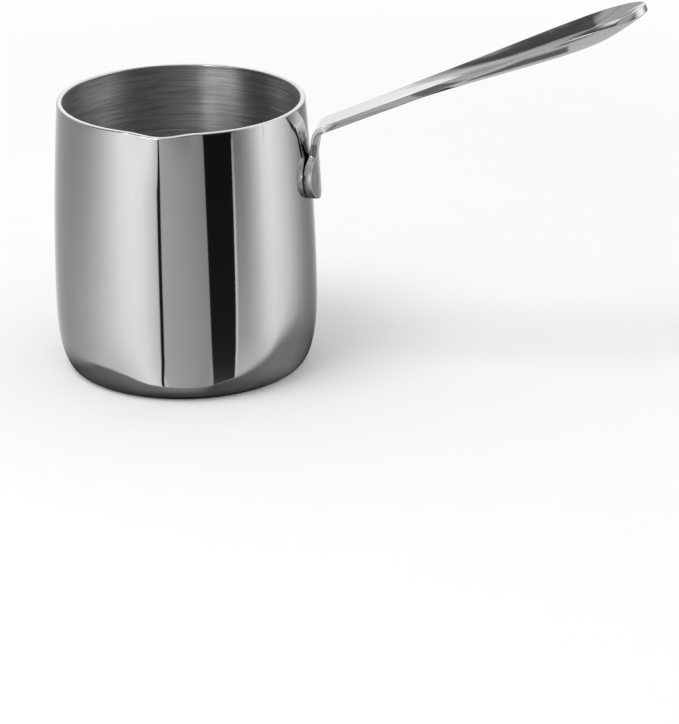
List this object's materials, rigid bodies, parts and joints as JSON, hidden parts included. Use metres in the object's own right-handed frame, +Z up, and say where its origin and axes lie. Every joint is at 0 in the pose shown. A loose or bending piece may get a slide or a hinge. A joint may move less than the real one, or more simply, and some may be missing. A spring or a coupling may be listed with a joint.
{
  "type": "candle melting pot",
  "caption": "Small barrel-shaped stainless pouring pot with a pressed pouring lip and a long dished strap handle welded to its wall, for melting candle wax.",
  "frame": {"origin": "centre of the flat resting face under the pot", "axes": "+Z up out of the pot's mouth; +X from the pot's axis out along the handle; the pouring lip is on the -Y side"},
  "size_m": [0.2054, 0.0924, 0.1329],
  "materials": {
    "pot_steel": "mirror polished outside, fine circular satin inside, polished ground rim",
    "handle_steel": "polished, with a fine satin floor in the dish",
    "weld_steel": "fused steel"
  },
  "bodies": {
    "root": {"pot_body": "pot_steel", "handle": "handle_steel", "front_spot_weld": "weld_steel", "rear_spot_weld": "weld_steel"}
  },
  "joints": []
}
